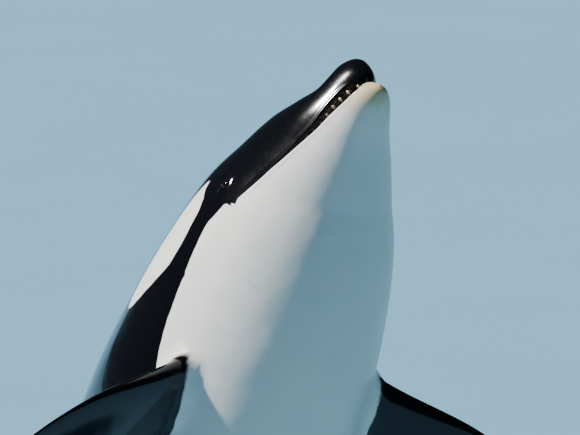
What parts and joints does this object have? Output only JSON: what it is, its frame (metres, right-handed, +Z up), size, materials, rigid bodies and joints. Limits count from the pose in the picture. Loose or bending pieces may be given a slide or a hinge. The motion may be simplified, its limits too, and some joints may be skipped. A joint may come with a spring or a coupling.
{
  "type": "display model of a killer whale",
  "caption": "Life-size killer whale with its head held up and its mouth just open, on a flat base with plain rods.",
  "frame": {"origin": "centre of the whole model's bounding box, on the underside of the stand's base", "axes": "+Z up, which is the model's longest side; the belly faces +X and the animal's left side faces +Y"},
  "size_m": [3.4176, 2.5932, 4.9561],
  "materials": {
    "black_skin": "smooth wet black skin, gloss",
    "white_skin": "smooth wet white skin, gloss",
    "eye": "clear gloss over dark brown",
    "stand_metal": "satin grey"
  },
  "bodies": {
    "root": {"head": "black_skin", "lower_jaw": "white_skin", "eye_left": "eye", "eye_right": "eye", "neck": "white_skin", "chest": "black_skin", "loin": "black_skin", "belly_rear": "black_skin", "tail_stock_front": "black_skin", "tail_stock_rear": "black_skin", "flipper_left": "black_skin", "flipper_right": "black_skin", "dorsal_fin": "black_skin", "fluke_left": "black_skin", "fluke_right": "black_skin", "stand_base": "stand_metal", "stand_flange_front": "stand_metal", "stand_flange_rear": "stand_metal", "stand_rod_front": "stand_metal", "stand_rod_rear": "stand_metal"}
  },
  "joints": []
}
